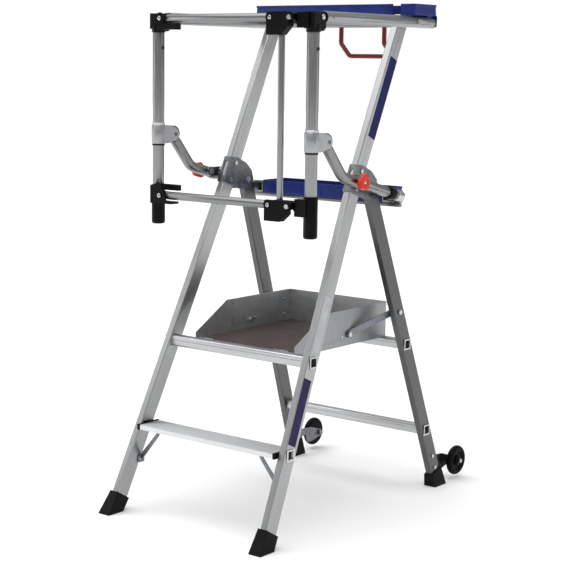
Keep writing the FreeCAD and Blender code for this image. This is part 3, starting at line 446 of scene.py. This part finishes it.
# ---------------------------------------------------------------- wheels and knobs
def make_wheel(side, sign):
    """A tyre with round shoulders and a dished outer face, and its hub; along is the way out."""
    outward = (sign, 0, 0)
    centre = (sign * WHEEL[0], WHEEL[1], WHEEL[2])
    shoulder = [(8 * math.sin(math.radians(t)), 41 + 8.8 * math.cos(math.radians(t)))
                for t in range(-90, 91, 15)]
    profile = [(-11, 16.5), (-11, 37), *[(a * 1.35, r) for a, r in shoulder], (11, 37), (10.4, 33.5),
               (8, 32), (6.2, 30), (5.5, 26), (5.5, 16.5)]
    tyre = lathe("wheel_" + side + "_tyre_round", profile, centre, outward, 64)
    finish_mesh(tyre, TYRE, "wheel_" + side, ("wheel_tyre_" + side,))
    ribs = [(-12.5, 0), (-12.5, 15.6), (-11.6, 16.8), (9.5, 16.8), (11, 16.2), (12, 14.5), (12.5, 12),
            (12.5, 0)]
    hub = lathe("wheel_" + side + "_hub_turned", ribs, centre, outward, 48)
    finish_mesh(hub, HUB, "wheel_" + side, ("wheel_hub_" + side,))
    for i in range(5):
        turn = 2 * math.pi * i / 5
        spot = (centre[0] + sign * 5.0, centre[1] + 24 * math.cos(turn), centre[2] + 24 * math.sin(turn))
        dome("wheel_" + side + "_boss_" + str(i), spot, outward, 3.6, 2.2, HUB, "wheel_" + side)
    dome("axle_cap_" + side, (sign * AXLE_END_X, WHEEL[1], WHEEL[2]), outward, 6.0, 3.4, BOLT, "rear_frame")


def make_knob(side, sign):
    """A three-lobed clamp knob: its outline is a circle with a threefold wave."""
    start = GUARD_X + ARM_RADIUS + 1.0
    steps = 72
    rings = []
    for depth, scale, wave in ((0, 0.52, 0.2), (1.6, 0.62, 0.3), (3.4, 0.86, 0.85), (5.4, 0.97, 1.0),
                               (8, 1.0, 1.0), (14, 1.0, 1.0), (17, 0.975, 1.0), (19, 0.90, 0.9),
                               (20, 0.78, 0.7), (19.8, 0.62, 0.4), (18.4, 0.46, 0.1), (17.6, 0.24, 0.0),
                               (17.4, 0.002, 0.0)):
        ring = []
        for k in range(steps):
            turn = 2 * math.pi * k / steps
            radius = (24.3 + 3.4 * wave * math.cos(3 * (turn - math.radians(75)))) * scale
            ring.append((sign * (start + depth), KNOB[0] + radius * math.cos(turn),
                         KNOB[1] + radius * math.sin(turn)))
        rings.append(ring)
    body = "knob_body_" + side
    knob = rings_mesh("knob_" + side + "_lobed", rings)
    finish_mesh(knob, ORANGE, body, ("knob_" + side,))
    dome("knob_" + side + "_rivet", (sign * (start + 17.0), *KNOB), (sign, 0, 0), 4.6, 2.6, BOLT, body)


# ---------------------------------------------------------------- clamps and arm ends
def make_clamp(side, sign):
    """The sleeve on a post with its two ears, a bright ring above and a dark one below."""
    low, high = CLAMP_Z
    body = "post_" + side
    x = sign * GUARD_X
    at = (x, POST_Y, 0)
    node = "post_clamp_" + side
    sleeve = [(low, 18.1), (low, 20.6), (low + 1.2, 21.5), (high - 1.2, 21.5), (high, 20.6), (high, 18.1)]
    ob = lathe(node + "_sleeve", sleeve, at, (0, 0, 1), 48)
    finish_mesh(ob, CLAMP, body, (node,))
    bright = [(high, 18.1), (high, 19.4), (high + 1, 20.1), (high + 6, 20.1), (high + 7, 19.2),
              (high + 7, 18.1)]
    ob = lathe(node + "_top_ring", bright, at, (0, 0, 1), 48)
    finish_mesh(ob, BOLT, body)
    dark = [(low - 6, 18.1), (low - 6, 19.2), (low - 5, 20.1), (low - 2, 20.1), (low - 1.2, 19.2),
            (low - 1.2, 18.1)]
    ob = lathe(node + "_low_ring", dark, at, (0, 0, 1), 48)
    finish_mesh(ob, FITTING, body)
    ear = [(POST_Y - 4, low), (POST_Y - 4, high), (-300, high), (-276, high - 4), (-258, high - 9),
           (-249, high - 20), (-245, high - 32), (-249, low + 14), (-262, low + 7), (-296, low)]
    outline = soften(ear, 9)
    for end, shift in (("inner", -20.5), ("outer", 17.0)):
        ob = prism(node + "_ear_" + end, outline, "x", x + sign * shift, x + sign * (shift + 3.5))
        finish_mesh(ob, CLAMP, body, bevel=1.1)
    for end, way in (("inner", -sign), ("outer", sign)):
        axis = (way, 0, 0)
        face = x + way * 20.5
        dome(node + "_bolt_" + end, (face, *ARM_FRONT), axis, 6.0, 3.0, LINK, body)
        # Painted shade: a dark disc in the bolt's eye stands in for the shadow in its hole.
        eye = (face + way * 2.2, *ARM_FRONT)
        dome(node + "_bolt_eye_" + end, eye, axis, 2.2, 1.2, DARK, body)
    seam = soften([(-303, low + 13), (-303, high - 12), (-281, high - 17), (-281, low + 15)], 5)
    ob = prism(node + "_press_mark", seam, "x", x + sign * 20.2, x + sign * 21.0)
    finish_mesh(ob, CLAMP, body, bevel=0.4)


def make_arm_ends(side, sign):
    """The black insert at an arm's front, its collar, and the bright flattened end behind it."""
    x = sign * GUARD_X
    rim = [(-15, 0), (-15, 22), (-13.5, 25), (-11, 26), (11, 26), (13.5, 25), (15, 22), (15, 0)]
    ob = lathe("arm_insert_" + side, rim, (x, *ARM_FRONT), (1, 0, 0), 40)
    finish_mesh(ob, FITTING, "guard_mid", ("arm_end_fittings",))
    end = Vector((x, *ARM_REAR))
    way = (end - Vector((x, *ARM_BEND))).normalized()
    collar = [(-76, 16.6), (-76, 19), (-74, 20.4), (-46, 20.4), (-43, 19.4), (-42, 16.6)]
    ob = lathe("arm_collar_" + side, collar, end, way, 40)
    finish_mesh(ob, FITTING, "guard_mid")
    tip = [(-30, 16.6), (-30, 17.4), (-12, 18.0), (2, 17.6), (5, 15.5), (6, 11), (6, 0)]
    ob = lathe("arm_tip_" + side, tip, end, way, 40)
    finish_mesh(ob, BOLT, "guard_mid")


# ---------------------------------------------------------------- stile stickers, step and rung ends
def front_y(z):
    """Where a front stile's centre line is at height z; front_x gives its distance from the middle."""
    return FRONT_FOOT_Y + math.tan(FRONT_LEAN) * z


def front_x(z):
    return UPPER_HALF + FRONT_TAPER * max(FRONT_BEND_Z - z, 0.0)


def make_sticker(name, low, high, across, mat, replaces=()):
    """A blank film on the right stile's outer face; across is its reach from the stile's centre line."""
    rings = []
    count = 12
    fall = math.sin(FRONT_LEAN)
    for i in range(count + 1):
        z = low + (high - low) * i / count
        corners = []
        for reach in across:
            up = z - reach * fall
            corners.append((front_x(up) + FRONT_WIDTH / 2, front_y(z) + reach * math.cos(FRONT_LEAN), up))
        (x0, y0, z0), (x1, y1, z1) = corners
        rings.append([(x0 - 0.2, y0, z0), (x0 + 0.35, y0, z0), (x1 + 0.35, y1, z1), (x1 - 0.2, y1, z1)])
    finish_mesh(rings_mesh(name, rings), mat, "front_frame", replaces)


def make_bore_shades():
    """Painted shade: dark floors inside the square ends of the rungs and the step, standing in for the
    shadow in the bores.
    """
    box_of = {name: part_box(name) for name in ("platform_rung", "rear_rung_upper", "rear_rung_lower")}
    places = [("step", "front_frame", front_x(STEP_Z) + FRONT_WIDTH / 2 + 3, front_y(STEP_Z), STEP_Z)]
    for name, (low, high) in box_of.items():
        body = "front_frame" if name == "platform_rung" else "rear_frame"
        middle = [(a + b) / 2 / MM for a, b in zip(low, high)]
        places.append((name, body, high[0] / MM, middle[1], middle[2]))
    for name, body, x, y, z in places:
        square = rounded((y - BORE_HALF, y + BORE_HALF), (z - BORE_HALF, z + BORE_HALF), 2.0)
        for side, sign in SIDES:
            deep = sign * (x - BORE_DEPTH)
            ob = prism(name + "_bore_" + side, square, "x", deep - sign, deep)
            finish_mesh(ob, DARK, body)


def make_step_fittings():
    """Flared square spigots at the step's ends, and the dark joggled bars that brace it."""
    face = front_x(STEP_Z) + FRONT_WIDTH / 2
    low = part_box("step_tread")[0][2] / MM
    foot_y, foot_z = -421.0, 155.0
    back = front_x(foot_z) - FRONT_WIDTH / 2 - 4.5
    y = front_y(STEP_Z)
    for side, sign in SIDES:
        rings = []
        for x, half in ((face - 20, 15), (face + 0.6, 15), (face + 1.0, 16.9), (face + 2.0, 17.5),
                        (face + 3.0, 16.9), (face + 3.0, 13.1), (face + 2.2, 12.5), (face - 20, 12.5)):
            outline = rounded((y - half, y + half), (STEP_Z - half, STEP_Z + half), 2.0)
            rings.append([(sign * x, a, b) for a, b in outline])
        ob = rings_mesh("step_spigot_" + side, rings, closed=True)
        finish_mesh(ob, ALU_STEP, "front_frame", ("step_fittings",))
        strap = [(196, low), (212, low), (216, low - 12), (back, foot_z + 18), (back, foot_z - 6),
                 (back - 6, foot_z + 2), (204, low - 16)]
        strap = soften([(sign * x, z) for x, z in strap], 4)
        ob = prism("step_brace_" + side, strap, "y", foot_y, foot_y + 4)
        finish_mesh(ob, LINK, "front_frame", bevel=0.6)
        plate = rounded((foot_y - 13, foot_y + 14), (foot_z - 12, foot_z + 12), 4)
        ob = prism("step_brace_foot_" + side, plate, "x", sign * back, sign * (back + 3.9))
        finish_mesh(ob, LINK, "front_frame", bevel=0.6)
        dome("step_brace_rivet_" + side, (sign * back, foot_y - 6, foot_z), (-sign, 0, 0), 3.6, 2.0, BOLT,
             "front_frame")


# ---------------------------------------------------------------- rivets and bolts
def make_gate_rivets():
    """Bright hollow rivets on the gate's brackets and its hinge, with painted shade in their hollows."""
    for name, z in zip(("top", "bottom"), GATE_LEVELS):
        for end, body, x, face, height, eye_height, hollow in (
                ("rivet", "gate_end", GATE_RIVET_X, GATE_RIVET_FACE_Y, 3.0, 2.4, 2.4),
                ("hinge", "post_left", GATE_PIVOT_X, GATE_PIN_FACE_Y, 2.6, 2.0, 2.2)):
            ahead = (0, -1, 0)
            # Painted shade: a dark disc in each hollow rivet stands in for the shadow inside it.
            eye = (x, face - eye_height, z)
            dome("gate_" + end + "_" + name, (x, face, z), ahead, 6.2, height, BOLT, body)
            dome("gate_" + end + "_eye_" + name, eye, ahead, hollow, 1.0, DARK, body)


def make_side_bolts(side, sign):
    """Rivets and bolts of one side's rail, post head and toe board."""
    out = (sign, 0, 0)
    rail_face = sign * (GUARD_X + TUBE_RADIUS - 0.3)
    dome("rail_rivet_" + side, (rail_face, -248.0, RAIL_Z), out, 4.2, 1.8, LINK, "guard_top")
    head_face = sign * (GUARD_X + 19.0)
    post = "post_" + side
    dome("head_screw_" + side, (head_face, POST_HINGE_Y, RAIL_Z), out, 7.0, 3.2, BOLT, post)
    button = (sign * GUARD_X + TUBE_RADIUS - 0.6, POST_Y, BUTTON_Z)
    dome("post_button_" + side, button, (1, 0, 0), 5.4, 4.6, DARK, post)
    guide = (sign * (BOARD_HALF + 1.3), LINK_FRONT[0] - 30, LINK_FRONT[1] - 4)
    dome("link_guide_bolt_" + side, guide, out, 5.0, 2.6, BOLT, "platform")
    for i, (y, z) in enumerate(((43.0, 556.0), (196.0, 600.0), (196.0, 548.0))):
        dome("board_bolt_" + side + "_" + str(i), (sign * BOARD_HALF, y, z), (-sign, 0, 0), 4.6, 2.4, BOLT,
             "platform")


# ---------------------------------------------------------------- trays
def box_mm(node):
    """The two corners of a CAD node's box in millimetres."""
    return [[c / MM for c in corner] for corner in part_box(node)]


def tray_rings(half, ys, levels):
    """Rings of a moulded tray; each level is (inset, z, corner radius)."""
    rings = []
    for inset, z, radius in levels:
        outline = rounded((-half + inset, half - inset), (ys[0] + inset, ys[1] - inset), radius, 6)
        rings.append([(x, y, z) for x, y in outline])
    return rings


def cut_away(ob, low, high):
    """Cuts a box, given by its corners in millimetres, out of a closed piece."""
    x, y, z = zip(low, high)
    cutter = prism("cutter", [(x[0], y[0]), (x[1], y[0]), (x[1], y[1]), (x[0], y[1])], "z", *z)
    mod = ob.modifiers.new("cut", "BOOLEAN")
    mod.operation = "DIFFERENCE"
    mod.solver = "EXACT"
    mod.object = cutter
    depsgraph = bpy.context.evaluated_depsgraph_get()
    ob.data = bpy.data.meshes.new_from_object(ob.evaluated_get(depsgraph))
    ob.modifiers.clear()
    bpy.data.objects.remove(cutter)


def make_top_tray():
    (_, y0, z0), (half, y1, z1) = box_mm("top_tray")
    floor = z1 - 35
    levels = [(2.5, floor, 8), (1.0, floor + 1.5, 9), (1.6, floor + 20, 10), (1.8, z1 - 7, 10),
              (0.0, z1 - 6, 11), (0.0, z1 - 1.2, 11), (1.0, z1, 10), (3.8, z1, 8), (4.8, z1 - 1.0, 7),
              (5.0, floor + 5, 6), (7.0, floor + 3, 5)]
    ob = rings_mesh("top_tray_moulded", tray_rings(half, (y0, y1), levels))
    for sign, width, front in ((-1, 19, y0 + 6), (1, 15, y0 - 9)):
        centre = sign * UPPER_HALF
        cut_away(ob, (centre - width, front, floor - 5), (centre + width, 250, z1 + 5))
    finish_mesh(ob, BLUE, "guard_top", ("top_tray",), bevel=0.8)
    skirt = soften([(-half + 3, z0), (half - 3, z0), (half - 1, z0 + 8), (half - 1, floor + 3),
                    (-half + 1, floor + 3), (-half + 1, z0 + 8)], 7)
    ob = prism("top_tray_skirt", skirt, "y", y1 - 3.4, y1 - 0.6)
    finish_mesh(ob, BLUE, "guard_top", bevel=0.7)
    for side, sign in SIDES:
        saddle = soften([(sign * (GUARD_X - 9), RAIL_Z + 14), (sign * (GUARD_X + 9), RAIL_Z + 14),
                         (sign * (GUARD_X + 11), floor + 1), (sign * (GUARD_X - 11), floor + 1)], 2)
        ob = prism("top_tray_saddle_" + side, saddle, "y", 255, 285)
        finish_mesh(ob, BLUE, "guard_top", bevel=1.2)


def make_lower_tray():
    (_, y0, z0), (half, y1, z1) = box_mm("lower_tray")
    levels = [(4.5, z0, 8), (2.4, z0 + 1.6, 9), (1.6, z0 + 30, 10), (1.6, z1 - 6, 10), (0.0, z1 - 5, 11),
              (0.0, z1 - 1.2, 11), (1.0, z1, 10), (4.0, z1, 8), (5.0, z1 - 1.0, 7), (6.0, z0 + 5, 6),
              (8.0, z0 + 3, 5)]
    ob = rings_mesh("lower_tray_moulded", tray_rings(half, (y0, y1), levels))
    finish_mesh(ob, BLUE, "guard_mid", ("lower_tray",), bevel=0.8)
    for i in range(5):
        x = -160 + 80 * i
        rib = soften([(x - 5, z0 + 6), (x + 5, z0 + 6), (x + 4, z1 - 9), (x - 4, z1 - 9)], 2)
        ob = prism("lower_tray_rib_" + str(i), rib, "y", y0 + 0.2, y0 + 2.2)
        finish_mesh(ob, BLUE, "guard_mid", bevel=0.7)


for side, sign in SIDES:
    make_wheel(side, sign)
    make_knob(side, sign)
    make_clamp(side, sign)
    make_arm_ends(side, sign)
make_sticker("upper_sticker", 1170, 1412, (-14.0, 24.0), NAVY, ("stile_labels",))
make_sticker("middle_sticker", 545, 700, (-18.0, 12.0), WHITE)
make_sticker("lower_sticker", 285, 468, (-23.5, 13.0), PURPLE)
make_bore_shades()
make_step_fittings()
make_gate_rivets()
for side, sign in SIDES:
    make_side_bolts(side, sign)
make_top_tray()
make_lower_tray()


# ---------------------------------------------------------------- floor, light and camera
def make_stage():
    data = bpy.data.meshes.new("floor")
    size = 30.0
    corners = [(-size, -size, 0), (size, -size, 0), (size, size, 0), (-size, size, 0)]
    data.from_pydata(corners, [], [(0, 1, 2, 3)])
    floor = bpy.data.objects.new("floor", data)
    scene.collection.objects.link(floor)
    make = Maker("floor_paint")
    cloud = make.noise(0.6, detail=3.0)
    make.set(make.ramp(cloud, (0.93, 0.93, 0.93), (0.95, 0.95, 0.95)), make.spread(cloud, 0.80, 0.90))
    data.materials.append(make.mat)


def area_light(name, spot, target, size, power):
    light = bpy.data.lights.new(name, "AREA")
    light.size = size
    light.energy = power
    ob = bpy.data.objects.new(name, light)
    ob.location = spot
    ob.rotation_euler = (Vector(target) - Vector(spot)).to_track_quat("-Z", "Y").to_euler()
    scene.collection.objects.link(ob)


def make_world():
    """A white backdrop for the camera, and a greyer studio for the surfaces to reflect."""
    world = bpy.data.worlds.new("studio")
    world.use_nodes = True
    nodes_of = world.node_tree.nodes
    link = world.node_tree.links.new
    studio = nodes_of["Background"]
    coords = nodes_of.new("ShaderNodeTexCoord")
    split = nodes_of.new("ShaderNodeSeparateXYZ")
    ramp = nodes_of.new("ShaderNodeValToRGB")
    ramp.color_ramp.elements[0].position = 0.48
    ramp.color_ramp.elements[0].color = (0.30, 0.30, 0.305, 1)
    ramp.color_ramp.elements[1].position = 0.80
    ramp.color_ramp.elements[1].color = (0.55, 0.555, 0.565, 1)
    shift = nodes_of.new("ShaderNodeMapRange")
    shift.inputs["From Min"].default_value = -1.0
    link(coords.outputs["Generated"], split.inputs["Vector"])
    link(split.outputs["Z"], shift.inputs["Value"])
    link(shift.outputs["Result"], ramp.inputs["Fac"])
    link(ramp.outputs["Color"], studio.inputs["Color"])
    backdrop = nodes_of.new("ShaderNodeBackground")
    backdrop.inputs["Color"].default_value = (1, 1, 1, 1)
    path = nodes_of.new("ShaderNodeLightPath")
    choose = nodes_of.new("ShaderNodeMixShader")
    link(path.outputs["Is Camera Ray"], choose.inputs[0])
    link(studio.outputs["Background"], choose.inputs[1])
    link(backdrop.outputs["Background"], choose.inputs[2])
    link(choose.outputs["Shader"], nodes_of["World Output"].inputs["Surface"])
    scene.world = world


def sun_light(name, ahead, strength, angle):
    light = bpy.data.lights.new(name, "SUN")
    light.energy = strength
    light.angle = math.radians(angle)
    ob = bpy.data.objects.new(name, light)
    ob.rotation_euler = Vector(ahead).to_track_quat("-Z", "Y").to_euler()
    scene.collection.objects.link(ob)


def make_camera():
    yaw, pitch, roll = math.radians(38.143), math.radians(8.376), math.radians(0.776)
    ahead = Vector((-math.sin(yaw) * math.cos(pitch), math.cos(yaw) * math.cos(pitch), -math.sin(pitch)))
    right = ahead.cross(Vector((0, 0, 1))).normalized()
    up = right.cross(ahead)
    level = right * math.cos(roll) + up * math.sin(roll)
    upright = up * math.cos(roll) - right * math.sin(roll)
    camera = bpy.data.cameras.new("camera")
    camera.sensor_width = 36.0
    camera.lens = 95.69
    camera.clip_end = 60.0
    ob = bpy.data.objects.new("camera", camera)
    turn = Matrix((level, upright, -ahead)).transposed()
    ob.matrix_world = Matrix.Translation((2.8920, -3.7540, 1.3971)) @ turn.to_4x4()
    scene.collection.objects.link(ob)
    scene.camera = ob


make_stage()
make_world()
make_camera()
sun_light("sky", (0.15, 0.20, -1.0), 2.5, 80)
area_light("front_left", (-3.4, -2.0, 1.6), (0, 0, 0.9), 1.4, 14)
area_light("right_rear", (3.6, 2.6, 1.6), (0, 0, 0.9), 1.4, 10)
scene.view_settings.view_transform = "Standard"
